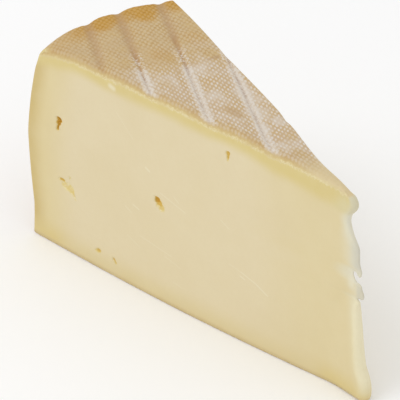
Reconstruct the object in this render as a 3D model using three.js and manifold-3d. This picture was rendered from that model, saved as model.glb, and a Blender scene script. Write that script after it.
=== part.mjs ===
// A wedge cut from a wheel of washed-rind raclette cheese, in millimetres, +Z up.
// The pointed end looks along +X, the rind of the wheel's side along -X, and the cut that shows along -Y.
import * as THREE from 'three';
import { mergeVertices } from 'three/addons/utils/BufferGeometryUtils.js';
import Module from 'manifold-3d';

const wasm = await Module();
wasm.setup();

// Driving dimensions
const WHEEL_RADIUS = 145; // where the side of the wheel bulges most, at the edge of a cut
const WHEEL_HEIGHT = 75.6; // level of the top rind halfway along the wedge
const WEDGE_ANGLE = THREE.MathUtils.degToRad(22.3); // about a sixteenth of the wheel

// The side of the wheel: its bulge, the lean above it, the hollow below it and the lip at its foot
const BULGE_HEIGHT = 39;
const LEAN_IN = 6;
const LEAN_POWER = 1.41;
const HOLLOW_DEPTH = 2;
const HOLLOW_POWER = 1.5;
const FOOT_HEIGHT = 12;
const FOOT_LIP = 0.5;
const SIDE_CROWN = 1.4; // what the middle of the side stands out past its two ends
const TOP_EDGE_RADIUS = 3;
const FOOT_EDGE_RADIUS = 2;

// The top rind: how it falls to the side and to the tip, and its lower back edge
const SIDE_FALL = 2.9;
const SIDE_FALL_START = 105;
const SIDE_FALL_EASE = 0.5; // share of that fall missing at the back cut
const SIDE_RISE = 0.9; // what the rind keeps of that fall midway between the cuts
const TIP_FALL = 1.8;
const TIP_FALL_START = 15;
const BACK_FALL = 1.4;
const RELIEF_POWER = 4; // how fast the top's rise and fall dies out down through the rows of the mesh

// Marks of the press cloth's folds: where each meets the front cut, measured from the tip, and its turn
const GROOVES = [
  { alongCut: 109.5, turn: 26.6 },
  { alongCut: 88.5, turn: 24.6 },
  { alongCut: 63, turn: 24.6 },
  { alongCut: 36, turn: 23.4 },
];
const GROOVE_DEPTH = 0.35;
const GROOVE_WIDTH = 2.6;
const PANEL_PITCH = 15; // width of the rind panel beside the first and the last groove
const PANEL_SWELL = 0.7;

// The cuts: how far their feet have slumped out, and where the back one is hollowed near the tip
const FRONT_SLUMP = 2.4;
const BACK_SLUMP = 1;
const SLUMP_POWER = 2; // how fast a slump fades upwards
const BACK_HOLLOW = 1.5;
const BACK_HOLLOW_MIDDLE = 26;
const BACK_HOLLOW_REACH = 16;
const THIN_END_BLEND = 0.5; // how softly the cuts run into the thin end
const FEATHER = 2.5; // distance over which the thin end swells to the full width
const FRONT_TOP_RADIUS = 2.6; // the rind rolls over into the front cut
const ROUND_LIMIT = 0.9; // share of the half width that this rounding may take near the tip

// Distance over which a row of the mesh leaves the level of the tip's ragged edge, low down and near the top
const EDGE_PULL = 0.8;
const TOP_EDGE_PULL = 2.2;
const TOP_PULL_START = 64;
const TOP_PULL_END = 70;

// The ragged edge of the tip, from its foot up. Each row gives its height in the body of the wedge,
// the edge's reach past the point where the two cuts would meet, the edge's own height, and half
// the thickness there. Two torn flaps hang down over notches, so the edge's height turns back twice.
const TIP_ROWS = [
  [0, 4.3, 0, 1.4],
  [0.6, 5.3, 0.5, 1.9],
  [1.8, 5.9, 1.8, 2.2],
  [4.4, 6, 4.4, 2.4],
  [6.8, 5.5, 6.8, 2.4],
  [9, 4.5, 9, 2.4],
  [12, 3.1, 12, 2.3],
  [18, 2.2, 18, 2.1],
  [25, 1.5, 25, 1.8],
  [31, 0.9, 31, 1.5],
  [34.4, 0.7, 34.2, 1],
  [35.4, 0.9, 35.1, 0.6],
  [35.9, 0.6, 35.6, 0.4],
  [36.3, -0.2, 36.1, 0.3],
  [36.8, 0.4, 37, 0.28],
  [37.4, 2.2, 37.2, 0.28],
  [38.1, 2.9, 38.1, 0.3],
  [39.4, 2.6, 39.4, 0.4],
  [40.6, 1.8, 40.6, 0.4],
  [41.4, 1.7, 41.6, 0.35],
  [41.9, 0.8, 42.1, 0.3],
  [42.3, -0.6, 42.2, 0.27],
  [42.9, -1.6, 42.8, 0.25],
  [43.9, -2.6, 44.3, 0.25],
  [45, -2.5, 45.4, 0.25],
  [46.1, -1.9, 46, 0.25],
  [46.6, -0.9, 46.1, 0.25],
  [46.9, -0.2, 45.7, 0.27],
  [47.2, 0.6, 44.9, 0.3],
  [47.6, 1.4, 45.5, 0.35],
  [48.2, 1.65, 46.9, 0.4],
  [49.8, 0.6, 49.2, 0.5],
  [52.4, 0.4, 52.4, 0.55],
  [54.9, 0.2, 54.9, 0.65],
  [56.4, -0.9, 56.4, 0.8],
  [58.9, -2.9, 58.9, 1],
  [61.4, -4.1, 61.4, 1.1],
  [63.4, -4.6, 63.4, 1.2],
  [65.8, -4, 65.6, 1.3],
  [68.2, -2.3, 67.6, 1.5],
  [70.2, -1.3, 69.2, 1.6],
  [72.2, -1.15, 70.6, 1.6],
  [73.9, -1.75, 71.9, 1.5],
  [75, -2.7, 72.8, 1.4],
  [WHEEL_HEIGHT, -3.6, 73.3, 1.3],
];

// Columns of the mesh from the tip's edge to the side of the wheel, and strips across the wedge
const NOSE_COLUMNS = 3;
const BODY_COLUMNS = 28;
const STRIPS = 8;
const LAST_COLUMN = NOSE_COLUMNS + BODY_COLUMNS;
const NEAR_SPACING = 0.35; // columns lie this much closer near the tip than on average
const STRIP_STARTS = [0, 1.1, 2.6]; // distances from the front cut of the first strips, for its rounded top

const halfAngle = WEDGE_ANGLE / 2;
const frontCutDirection = new THREE.Vector2(-Math.cos(halfAngle), -Math.sin(halfAngle));

const clamp01 = (value) => Math.min(1, Math.max(0, value));

// The fold marks as straight lines, each a point on the front cut and a direction towards the side
const foldLines = GROOVES.map(({ alongCut, turn }) => {
  const angle = Math.PI - THREE.MathUtils.degToRad(turn);
  return {
    start: frontCutDirection.clone().multiplyScalar(alongCut),
    direction: new THREE.Vector2(Math.cos(angle), Math.sin(angle)),
  };
});

// Distance of a point from a fold line, positive on the side of the line that the tip is on
function distanceFromFold({ start, direction }, x, y) {
  return (x - start.x) * direction.y - (y - start.y) * direction.x;
}

// Each panel of rind between two fold marks is slightly domed
function panelSwell(x, y) {
  const distances = foldLines.map((line) => distanceFromFold(line, x, y));
  const outer = [distances[0] + PANEL_PITCH, ...distances, distances[distances.length - 1] - PANEL_PITCH];
  for (let k = 0; k + 1 < outer.length; k += 1) {
    if (outer[k] >= 0 && outer[k + 1] < 0) {
      const across = outer[k] / (outer[k] - outer[k + 1]);
      return PANEL_SWELL * Math.sin(Math.PI * across);
    }
  }
  return 0;
}

// Height of the top rind over a point of the plan
function topHeight(x, y) {
  const radius = Math.hypot(x, y);
  const sideShare = clamp01((radius - SIDE_FALL_START) / (WHEEL_RADIUS - SIDE_FALL_START));
  const tipShare = clamp01((TIP_FALL_START - radius) / TIP_FALL_START);
  const towardsBack = clamp01((y / Math.max(radius, 1)) / Math.sin(WEDGE_ANGLE) + 1 / 2);
  const middle = 4 * towardsBack * (1 - towardsBack);
  const sideFall = SIDE_FALL * (1 - SIDE_FALL_EASE * towardsBack) * sideShare ** 2;
  return WHEEL_HEIGHT - sideFall + SIDE_RISE * sideShare * middle - TIP_FALL * tipShare ** 2
    - BACK_FALL * towardsBack + panelSwell(x, y) * clamp01(radius / TIP_FALL_START - 1);
}

// How far the side of the wheel stands back from its widest place at a given height
function sideInset(z) {
  if (z > BULGE_HEIGHT) {
    return LEAN_IN * ((z - BULGE_HEIGHT) / (WHEEL_HEIGHT - BULGE_HEIGHT)) ** LEAN_POWER;
  }
  const hollow = clamp01((BULGE_HEIGHT - z) / (BULGE_HEIGHT - FOOT_HEIGHT));
  const lip = clamp01(1 - z / FOOT_HEIGHT);
  return HOLLOW_DEPTH * hollow ** HOLLOW_POWER - FOOT_LIP * lip ** 2;
}

// Rounds the edge between two faces: takes and gives the distances inwards from both of them
function roundEdge(u, v, radius) {
  if (u >= radius || v >= radius) {
    return [u, v];
  }
  const fromCentre = new THREE.Vector2(radius - u, radius - v);
  const shrink = Math.max(fromCentre.x, fromCentre.y) / fromCentre.length();
  return [radius - fromCentre.x * shrink, radius - fromCentre.y * shrink];
}

// Half the width of the wedge at a distance behind the tip's edge: a rounded thin end, then the cuts
function halfWidth(x, behindEdge, thinHalf) {
  const wedgeHalf = -x * Math.tan(halfAngle);
  const full = (wedgeHalf + thinHalf + Math.hypot(wedgeHalf - thinHalf, THIN_END_BLEND)) / 2;
  const width = full - Math.max(full - thinHalf, 0) * Math.exp(-behindEdge / FEATHER);
  const intoRound = clamp01(1 - behindEdge / thinHalf);
  return width * Math.sqrt(1 - intoRound ** 2);
}

// How far a column lies behind the tip's edge: three columns round the edge, then the body's
function columnDistance(column, length, thinHalf) {
  if (column <= NOSE_COLUMNS) {
    return thinHalf * (1 - Math.cos((column / NOSE_COLUMNS) * (Math.PI / 2)));
  }
  const share = (column - NOSE_COLUMNS) / BODY_COLUMNS;
  const eased = share * (NEAR_SPACING + (1 - NEAR_SPACING) * share);
  return thinHalf + (length - thinHalf) * eased;
}

// Where a strip starts: -1 at the front cut to 1 at the back cut
function stripPlace(strip, half) {
  const lastFixed = STRIP_STARTS.length - 1;
  const even = 2 / STRIPS;
  const fixed = (k) => Math.min(STRIP_STARTS[k] / Math.max(half, STRIP_STARTS[1]), k * even);
  if (strip <= lastFixed) {
    return fixed(strip) - 1;
  }
  return fixed(lastFixed) - 1 + (2 - fixed(lastFixed)) * ((strip - lastFixed) / (STRIPS - lastFixed));
}

// The share of its slump that a cut has at a share of its length and at a height
function slumpShare(lengthShare, height) {
  return Math.sin(Math.PI * clamp01(lengthShare)) * (1 - height / WHEEL_HEIGHT) ** SLUMP_POWER;
}

// A point of the wedge: column from tip to side, strip from front cut to back cut, row from foot to top
function wedgePoint(column, strip, row) {
  const [height, reach, edgeHeight, thinHalf] = TIP_ROWS[row];
  const straightLength = reach + WHEEL_RADIUS - sideInset(height);
  const straightX = reach - columnDistance(column, straightLength, thinHalf);
  const across = stripPlace(strip, halfWidth(straightX, reach - straightX, thinHalf));
  const crown = SIDE_CROWN * (1 - across ** 2);
  const sideX = -(WHEEL_RADIUS - sideInset(height) + crown) * Math.cos(across * halfAngle);
  const length = reach - sideX;
  const behindEdge = columnDistance(column, length, thinHalf);
  const x = reach - behindEdge;

  const slumpShape = slumpShare(behindEdge / length, height);
  const half = halfWidth(x, behindEdge, thinHalf);
  const frontHalf = half + FRONT_SLUMP * slumpShape;
  const hollowShape = Math.exp(-(((x + BACK_HOLLOW_MIDDLE) / BACK_HOLLOW_REACH) ** 2));
  const hollow = BACK_HOLLOW * hollowShape * clamp01(behindEdge / thinHalf);
  const backHalf = half + BACK_SLUMP * slumpShape - hollow;
  const y = across * (across < 0 ? frontHalf : backHalf);

  const [fromSideTop, fromTop] = roundEdge(length - behindEdge, WHEEL_HEIGHT - height, TOP_EDGE_RADIUS);
  const [fromSide, fromFoot] = roundEdge(fromSideTop, height, FOOT_EDGE_RADIUS);
  const radius = Math.min(FRONT_TOP_RADIUS, ROUND_LIMIT * half);
  const [fromFront, fromRoundTop] = roundEdge(y + frontHalf, fromTop, radius);
  const level = height < FOOT_EDGE_RADIUS ? fromFoot : WHEEL_HEIGHT - fromRoundTop;

  const relief = (topHeight(x, y) - WHEEL_HEIGHT) * (height / WHEEL_HEIGHT) ** RELIEF_POWER;
  const towardsTop = clamp01((height - TOP_PULL_START) / (TOP_PULL_END - TOP_PULL_START));
  const pullReach = EDGE_PULL + (TOP_EDGE_PULL - EDGE_PULL) * towardsTop;
  const pull = Math.exp(-((behindEdge / pullReach) ** 2));
  const lift = relief + (edgeHeight - height - relief) * pull;
  return [sideX + fromSide, fromFront - frontHalf, level + lift];
}

// The closed mesh: four sheets of quads round the wedge and one at the side, on shared vertices
function wedgeGeometry() {
  const lastRow = TIP_ROWS.length - 1;
  const positions = [];
  const indices = [];
  const known = new Map();
  const vertex = (column, strip, row) => {
    const key = column === 0 ? `edge ${row}` : `${column} ${strip} ${row}`;
    if (!known.has(key)) {
      known.set(key, positions.length / 3);
      positions.push(...wedgePoint(column, column === 0 ? STRIPS / 2 : strip, row));
    }
    return known.get(key);
  };
  const quad = (a, b, c, d) => {
    for (const [p, q, r] of [[a, b, c], [a, c, d]]) {
      if (p !== q && q !== r && r !== p) {
        indices.push(p, q, r);
      }
    }
  };
  for (let column = 0; column < LAST_COLUMN; column += 1) {
    for (let row = 0; row < lastRow; row += 1) {
      quad(vertex(column, 0, row), vertex(column, 0, row + 1),
        vertex(column + 1, 0, row + 1), vertex(column + 1, 0, row));
      quad(vertex(column, STRIPS, row), vertex(column + 1, STRIPS, row),
        vertex(column + 1, STRIPS, row + 1), vertex(column, STRIPS, row + 1));
    }
    for (let strip = 0; strip < STRIPS; strip += 1) {
      quad(vertex(column, strip, 0), vertex(column + 1, strip, 0),
        vertex(column + 1, strip + 1, 0), vertex(column, strip + 1, 0));
      quad(vertex(column, strip, lastRow), vertex(column, strip + 1, lastRow),
        vertex(column + 1, strip + 1, lastRow), vertex(column + 1, strip, lastRow));
    }
  }
  for (let strip = 0; strip < STRIPS; strip += 1) {
    for (let row = 0; row < lastRow; row += 1) {
      quad(vertex(LAST_COLUMN, strip, row), vertex(LAST_COLUMN, strip, row + 1),
        vertex(LAST_COLUMN, strip + 1, row + 1), vertex(LAST_COLUMN, strip + 1, row));
    }
  }
  const geometry = new THREE.BufferGeometry();
  geometry.setAttribute('position', new THREE.Float32BufferAttribute(positions, 3));
  geometry.setIndex(indices);
  return geometry;
}

// A closed geometry as a solid that can be cut and joined, and back again
function toSolid(geometry) {
  const bare = geometry.clone();
  bare.deleteAttribute('normal');
  bare.deleteAttribute('uv');
  const merged = mergeVertices(bare);
  return new wasm.Manifold(new wasm.Mesh({
    numProp: 3,
    vertProperties: new Float32Array(merged.attributes.position.array),
    triVerts: new Uint32Array(merged.index.array),
  }));
}

function toGeometry(solid) {
  const mesh = solid.getMesh();
  const geometry = new THREE.BufferGeometry();
  geometry.setAttribute('position', new THREE.BufferAttribute(new Float32Array(mesh.vertProperties), 3));
  geometry.setIndex(new THREE.BufferAttribute(new Uint32Array(mesh.triVerts), 1));
  geometry.computeVertexNormals();
  return geometry;
}

// A fold mark is cut by a round bar laid along its line, just above the rind
const GROOVE_SIDES = 10;
const GROOVE_STEPS = 8;
const GROOVE_OVERRUN = 4;
const grooveRadius = ((GROOVE_WIDTH / 2) ** 2 + GROOVE_DEPTH ** 2) / (2 * GROOVE_DEPTH);

// Where a fold line leaves the wedge: over the side of the wheel or over the back cut
function foldLength({ start, direction }) {
  let length = 0;
  const point = start.clone();
  while (point.length() < WHEEL_RADIUS && Math.atan2(point.y, -point.x) < halfAngle) {
    length += 1;
    point.copy(direction).multiplyScalar(length).add(start);
  }
  return length;
}

function grooveSolid(line) {
  const length = foldLength(line);
  const points = [];
  for (let step = 0; step <= GROOVE_STEPS; step += 1) {
    const along = -GROOVE_OVERRUN + ((length + 2 * GROOVE_OVERRUN) * step) / GROOVE_STEPS;
    const x = line.start.x + line.direction.x * along;
    const y = line.start.y + line.direction.y * along;
    points.push(new THREE.Vector3(x, y, topHeight(x, y) + grooveRadius - GROOVE_DEPTH));
  }
  const corners = [];
  for (let side = 0; side < GROOVE_SIDES; side += 1) {
    const angle = ((side + 1 / 2) / GROOVE_SIDES) * 2 * Math.PI;
    corners.push(new THREE.Vector2(grooveRadius * Math.cos(angle), grooveRadius * Math.sin(angle)));
  }
  return toSolid(new THREE.ExtrudeGeometry(new THREE.Shape(corners), {
    steps: GROOVE_STEPS,
    bevelEnabled: false,
    extrudePath: new THREE.CatmullRomCurve3(points),
  }));
}

// Eyes in the front cut: distance from the tip along the cut, height, size along the cut, size up,
// depth, and lean from upright. An eye with several hollows is one torn opening.
const EYES = [
  { along: 129.6, height: 49.4, width: 2.6, tall: 2.2, depth: 0.9, lean: 25 },
  { along: 130.1, height: 48.1, width: 1.7, tall: 2.8, depth: 0.8, lean: 22 },
  { along: 130.8, height: 46.4, width: 1.1, tall: 3.2, depth: 0.6, lean: 18 },
  { along: 129.6, height: 26.8, width: 3.2, tall: 1.3, depth: 0.6, lean: -4 },
  { along: 128, height: 25.4, width: 3, tall: 2.8, depth: 0.35, lean: -60 },
  { along: 126.6, height: 25.1, width: 4, tall: 3.4, depth: 0.35, lean: -60 },
  { along: 125.2, height: 24.3, width: 3.2, tall: 3.4, depth: 0.35, lean: -40 },
  { along: 123.7, height: 22.9, width: 1.5, tall: 4.2, depth: 0.45, lean: -32 },
  { along: 86.1, height: 37.7, width: 2.9, tall: 3.4, depth: 1.3, lean: -42 },
  { along: 85, height: 36.4, width: 3.9, tall: 3.4, depth: 0.9, lean: -42 },
  { along: 83.7, height: 35.2, width: 4.2, tall: 3.5, depth: 0.5, lean: -46 },
  { along: 55.4, height: 67.3, width: 2.2, tall: 2.8, depth: 0.6, lean: 0 },
  { along: 55.4, height: 66.2, width: 1.3, tall: 3.8, depth: 0.5, lean: 0 },
  { along: 111.2, height: 7.4, width: 3, tall: 2.2, depth: 0.5, lean: 0 },
  { along: 104.9, height: 6.9, width: 1.6, tall: 2, depth: 0.5, lean: -50 },
  { along: 104.2, height: 6.2, width: 1, tall: 2.2, depth: 0.4, lean: -40 },
];
const EYE_SPHERE_DETAIL = 2;

// Where a point of the front cut lies, slump included
function frontCutPoint(along, height) {
  const slump = FRONT_SLUMP * slumpShare(along / WHEEL_RADIUS, height);
  return new THREE.Vector3(frontCutDirection.x * along, frontCutDirection.y * along - slump, height);
}

function eyeSolid({ along, height, width, tall, depth, lean }) {
  const hollow = new THREE.IcosahedronGeometry(1, EYE_SPHERE_DETAIL);
  hollow.scale(width / 2, depth, tall / 2);
  hollow.rotateY(THREE.MathUtils.degToRad(lean));
  hollow.rotateZ(halfAngle);
  const place = frontCutPoint(along, height);
  hollow.translate(place.x, place.y, place.z);
  return toSolid(hollow);
}

// A nick in the rind where the back cut runs out through the top
const NICK = { along: 51.5, length: 7, width: 3, depth: 1.8 };

function nickSolid() {
  const chip = new THREE.IcosahedronGeometry(1, EYE_SPHERE_DETAIL);
  chip.scale(NICK.length / 2, NICK.width / 2, NICK.depth / 2);
  chip.rotateZ(-halfAngle);
  const x = -NICK.along * Math.cos(halfAngle);
  const y = NICK.along * Math.sin(halfAngle);
  chip.translate(x, y, topHeight(x, y));
  return toSolid(chip);
}

let solid = toSolid(wedgeGeometry());
for (const cutter of [...foldLines.map(grooveSolid), ...EYES.map(eyeSolid), nickSolid()]) {
  solid = solid.subtract(cutter);
}

// The origin is the middle of the wedge's box, on the surface that it stands on
const wedge = toGeometry(solid);
wedge.computeBoundingBox();
const middle = wedge.boundingBox.getCenter(new THREE.Vector3());
wedge.translate(-middle.x, -middle.y, -wedge.boundingBox.min.z);

const paste = new THREE.MeshStandardMaterial({ color: 0xdecf9f, roughness: 0.55, metalness: 0 });
const cheeseWedge = new THREE.Mesh(wedge, paste);
cheeseWedge.name = 'cheese_wedge';

const model = new THREE.Group();
model.add(cheeseWedge);

export default model;
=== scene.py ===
# The looks of a wedge of raclette cheese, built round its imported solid.
# Sizes are in millimetres in the wheel's frame: the two cuts meet at the origin, the wedge lies along -X,
# and the cut that shows faces -Y. The finished mesh is moved onto the solid's box and put in metres.
import math
from types import SimpleNamespace

import bmesh
import bpy
import numpy as np
from mathutils import Matrix, Vector, noise


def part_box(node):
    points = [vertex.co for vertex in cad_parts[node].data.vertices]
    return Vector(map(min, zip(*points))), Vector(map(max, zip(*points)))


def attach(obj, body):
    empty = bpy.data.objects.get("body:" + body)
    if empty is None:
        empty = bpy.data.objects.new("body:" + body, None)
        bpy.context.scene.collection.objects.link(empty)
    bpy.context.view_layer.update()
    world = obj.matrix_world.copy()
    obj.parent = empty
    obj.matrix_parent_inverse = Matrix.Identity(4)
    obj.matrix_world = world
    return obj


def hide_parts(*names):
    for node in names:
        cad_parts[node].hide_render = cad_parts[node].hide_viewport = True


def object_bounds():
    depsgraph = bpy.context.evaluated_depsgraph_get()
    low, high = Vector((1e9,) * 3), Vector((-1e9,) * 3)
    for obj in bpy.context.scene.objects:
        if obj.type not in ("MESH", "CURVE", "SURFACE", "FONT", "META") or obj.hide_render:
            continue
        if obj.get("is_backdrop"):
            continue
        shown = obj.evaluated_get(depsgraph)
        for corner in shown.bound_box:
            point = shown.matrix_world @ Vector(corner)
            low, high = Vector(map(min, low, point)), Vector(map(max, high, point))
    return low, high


MM = 0.001
TINY = 1e-6
LOOKS_NAME = "cheese_wedge_looks"

# Main sizes, the same as the solid's
WHEEL_RADIUS = 145.0
WHEEL_HEIGHT = 75.6
WEDGE_ANGLE = math.radians(22.3)
HALF_ANGLE = WEDGE_ANGLE / 2

# The side of the wheel: its bulge, the lean above it, the hollow below it and the lip at its foot
BULGE_HEIGHT = 39.0
LEAN_IN = 6.0
LEAN_POWER = 1.41
HOLLOW_DEPTH = 2.0
HOLLOW_POWER = 1.5
FOOT_HEIGHT = 12.0
FOOT_LIP = 0.5
SIDE_CROWN = 1.4
TOP_EDGE_RADIUS = 3.0
FOOT_EDGE_RADIUS = 2.0

# The top rind: its falls towards the side, the tip, the back cut and the heel's front corner
SIDE_FALL = 2.9
SIDE_FALL_START = 105.0
SIDE_FALL_EASE = 0.5
SIDE_RISE = 0.9
TIP_FALL = 1.8
TIP_FALL_START = 15.0
BACK_FALL = 1.4
CORNER_FALL = 0.7
CORNER_REACH = 7.0
CORNER_PLACE = (-136.5, -26.9)
RELIEF_POWER = 4

# Marks of the press cloth's folds: where each meets the front cut, from the tip, and its turn in degrees
FOLDS = [(109.5, 26.6), (88.5, 24.6), (63.0, 24.6), (36.0, 23.4)]
# Their grooves, the banks beside them, and where both fade out
FOLD_DEPTH = 0.28
FOLD_GROOVE_POWER = 1.5
FOLD_REACH_SIDE = 2.2
FOLD_REACH_TIP = 0.8
FOLD_NARROWS = (-116.0, -98.0)
FOLD_BANK = 0.2
FOLD_BANK_PLACE = 1.25
FOLD_BANK_REACH = 0.6
FOLD_TIP_FADE = (7.5, 22.5)
FOLD_FRONT_FADE = (0.8, 4.5)
FOLD_BACK_LEFT = 0.4
FOLD_BACK_FADE = 5.0
FOLD_FADE_DOWN = 0.5
# The domed panels of rind between them
PANEL_PITCH = 15.0
PANEL_SWELL = 0.7
PANEL_TIP_FADE = (15.0, 30.0)

# The cuts: the bulge at their feet, the hollow in the back one, and how both come together in the thin tip
FRONT_SLUMP = 2.4
BACK_SLUMP = 1.0
SLUMP_POWER = 2
BACK_HOLLOW = 1.5
BACK_HOLLOW_MIDDLE = 26.0
BACK_HOLLOW_REACH = 16.0
THIN_END_BLEND = 0.5
FEATHER = 2.5
# How far behind its edge the tip still follows the edge's ups and downs, and the same near the top
EDGE_PULL = 0.8
TOP_EDGE_PULL = 2.2
TOP_PULL_FADE = (64.0, 70.0)

# Radii of the edges where rind and cut meet, the share of half the width that one may take at most, and
# how far the rind comes down over the front cut
FRONT_TOP_RADIUS = 2.6
BACK_TOP_RADIUS = 0.8
CUT_FOOT_RADIUS = 0.25
CUT_SIDE_RADIUS = 0.6
BACK_SIDE_RADIUS = 2.0
CORNER_RADIUS = 2.4
CORNER_HEIGHT = 6.0
ROUND_SHARE = 0.9
LIP_DROP = 2.3
LIP_START = 4.0
LIP_SPREAD = 3.2
CORNER_BARE = 2.3

# A nick in the rind at the back cut
NICK_ALONG = 51.5
NICK_REACH = 2.8
NICK_WIDTH = 1.6
NICK_DEPTH = 0.8

# The ragged edge of the tip, from its foot up: height in the body of the wedge, reach of the edge past
# the point where the cuts would meet, the edge's own height, and half the thickness there
TIP_ROWS = np.array([
    [0, 4.3, 0, 1.4],
    [0.6, 5.3, 0.5, 1.9],
    [1.8, 5.9, 1.8, 2.2],
    [4.4, 6, 4.4, 2.4],
    [6.8, 5.5, 6.8, 2.4],
    [9, 4.5, 9, 2.4],
    [12, 3.1, 12, 2.3],
    [18, 2.2, 18, 2.1],
    [25, 1.5, 25, 1.8],
    [31, 0.9, 31, 1.5],
    [34.4, 0.7, 34.2, 1],
    [35.4, 0.9, 35.1, 0.6],
    [35.9, 0.6, 35.6, 0.4],
    [36.3, -0.2, 36.1, 0.3],
    [36.8, 0.4, 37, 0.28],
    [37.4, 2.2, 37.2, 0.28],
    [38.1, 2.9, 38.1, 0.3],
    [39.4, 2.6, 39.4, 0.4],
    [40.6, 1.8, 40.6, 0.4],
    [41.4, 1.7, 41.6, 0.35],
    [41.9, 0.8, 42.1, 0.3],
    [42.3, -0.6, 42.2, 0.27],
    [42.9, -1.6, 42.8, 0.25],
    [43.9, -2.6, 44.3, 0.25],
    [45, -2.5, 45.4, 0.25],
    [46.1, -1.9, 46, 0.25],
    [46.6, -0.9, 46.1, 0.25],
    [46.9, -0.2, 45.7, 0.27],
    [47.2, 0.6, 44.9, 0.3],
    [47.6, 1.4, 45.5, 0.35],
    [48.2, 1.65, 46.9, 0.4],
    [49.8, 0.6, 49.2, 0.5],
    [52.4, 0.4, 52.4, 0.55],
    [54.9, 0.2, 54.9, 0.65],
    [56.4, -0.9, 56.4, 0.8],
    [58.9, -2.9, 58.9, 1],
    [61.4, -4.1, 61.4, 1.1],
    [63.4, -4.6, 63.4, 1.2],
    [65.8, -4, 65.6, 1.3],
    [68.2, -2.3, 67.6, 1.5],
    [70.2, -1.3, 69.2, 1.6],
    [72.2, -1.15, 70.6, 1.6],
    [73.9, -1.75, 71.9, 1.5],
    [75, -2.7, 72.8, 1.4],
    [WHEEL_HEIGHT, -3.6, 73.3, 1.3],
])
LAST_ROW = len(TIP_ROWS) - 1
# The steepest a row's slope may be, in steps to the next row, for the height to keep rising
STEEPEST_ROW = 3


def clamp01(value):
    return np.clip(value, 0.0, 1.0)


def ramp(value, start, end):
    """Goes evenly from 0 at start to 1 at end."""
    return clamp01((value - start) / (end - start))


def bell(distance, reach):
    """1 at no distance, and falling away softly over the reach."""
    return np.exp(-((distance / reach) ** 2))


def smooth(share):
    """Eases a share in and out."""
    return share * share * (3 - 2 * share)


# Shape of the wedge


def row_tangents():
    """Slopes of the tip's rows; the height in the body always rises."""
    tangents = np.gradient(TIP_ROWS, axis=0)
    steps = np.diff(TIP_ROWS[:, 0])
    smaller = np.minimum(np.append(steps, steps[-1]), np.insert(steps, 0, steps[0]))
    tangents[:, 0] = np.minimum(tangents[:, 0], STEEPEST_ROW * smaller)
    return tangents


ROW_TANGENTS = row_tangents()


def rows_at(q):
    """Height, reach, edge height and half thickness at row numbers with fractions."""
    below = np.clip(np.floor(q).astype(int), 0, LAST_ROW - 1)
    s = (q - below)[..., None]
    start, end = TIP_ROWS[below], TIP_ROWS[below + 1]
    leave, arrive = ROW_TANGENTS[below], ROW_TANGENTS[below + 1]
    values = (
        (2 * s**3 - 3 * s**2 + 1) * start
        + (s**3 - 2 * s**2 + s) * leave
        + (3 * s**2 - 2 * s**3) * end
        + (s**3 - s**2) * arrive
    )
    return np.moveaxis(values, -1, 0)


def fold_lines():
    """Each fold mark as a point on the front cut and a direction towards the side."""
    cut = np.array([-math.cos(HALF_ANGLE), -math.sin(HALF_ANGLE)])
    for along, turn in FOLDS:
        angle = math.pi - math.radians(turn)
        yield cut * along, np.array([math.cos(angle), math.sin(angle)])


def fold_distances(x, y):
    """Distance from each fold line, positive on the tip's side of it."""
    return [(x - p[0]) * d[1] - (y - p[1]) * d[0] for p, d in fold_lines()]


def panel_swell(x, y):
    """Each panel of rind between two fold marks is slightly domed."""
    distances = fold_distances(x, y)
    outer = [distances[0] + PANEL_PITCH, *distances, distances[-1] - PANEL_PITCH]
    swell = np.zeros_like(x)
    for first, second in zip(outer, outer[1:]):
        inside = (first >= 0) & (second < 0)
        across = first / np.maximum(first - second, TINY)
        swell = np.where(inside, PANEL_SWELL * np.sin(np.pi * clamp01(across)), swell)
    return swell


def fold_relief(x, y):
    """The grooves of the fold marks, wide and soft near the side and narrow between two banks elsewhere."""
    nearest = np.min(np.abs(fold_distances(x, y)), axis=0)
    narrowed = ramp(x, *FOLD_NARROWS)
    reach = FOLD_REACH_SIDE + (FOLD_REACH_TIP - FOLD_REACH_SIDE) * narrowed
    groove = clamp01(1 - (nearest / reach) ** 2) ** FOLD_GROOVE_POWER
    bank = bell(nearest - FOLD_BANK_PLACE, FOLD_BANK_REACH)
    return FOLD_BANK * bank * narrowed - FOLD_DEPTH * groove


def top_height(x, y):
    """Height of the top rind, without its fold marks."""
    radius = np.hypot(x, y)
    side_share = ramp(radius, SIDE_FALL_START, WHEEL_RADIUS)
    tip_share = ramp(radius, TIP_FALL_START, 0)
    to_back = clamp01(y / np.maximum(radius, 1) / math.sin(WEDGE_ANGLE) + 0.5)
    side_fall = SIDE_FALL * (1 - SIDE_FALL_EASE * to_back) * side_share**2
    side_rise = SIDE_RISE * side_share * 4 * to_back * (1 - to_back)
    corner_fall = CORNER_FALL * bell(np.hypot(x - CORNER_PLACE[0], y - CORNER_PLACE[1]), CORNER_REACH)
    fall = side_fall + TIP_FALL * tip_share**2 + BACK_FALL * to_back + corner_fall
    return WHEEL_HEIGHT - fall + side_rise + panel_swell(x, y) * ramp(radius, *PANEL_TIP_FADE)


def side_inset(z):
    """How far the side stands back from its widest place at a height."""
    lean = LEAN_IN * ramp(z, BULGE_HEIGHT, WHEEL_HEIGHT) ** LEAN_POWER
    hollow = HOLLOW_DEPTH * ramp(z, BULGE_HEIGHT, FOOT_HEIGHT) ** HOLLOW_POWER
    return lean + hollow - FOOT_LIP * ramp(z, FOOT_HEIGHT, 0) ** 2


def round_edge(u, v, radius):
    """Rounds the edge between two faces: takes and gives the distances inwards from both."""
    a, b = radius - u, radius - v
    shrink = np.maximum(a, b) / np.maximum(np.hypot(a, b), TINY)
    near = (a > 0) & (b > 0)
    return np.where(near, radius - a * shrink, u), np.where(near, radius - b * shrink, v)


def slump_share(length_share, height):
    """How much of its slump a cut has at a place: most at the foot, half way along."""
    return np.sin(np.pi * clamp01(length_share)) * (1 - height / WHEEL_HEIGHT) ** SLUMP_POWER


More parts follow.
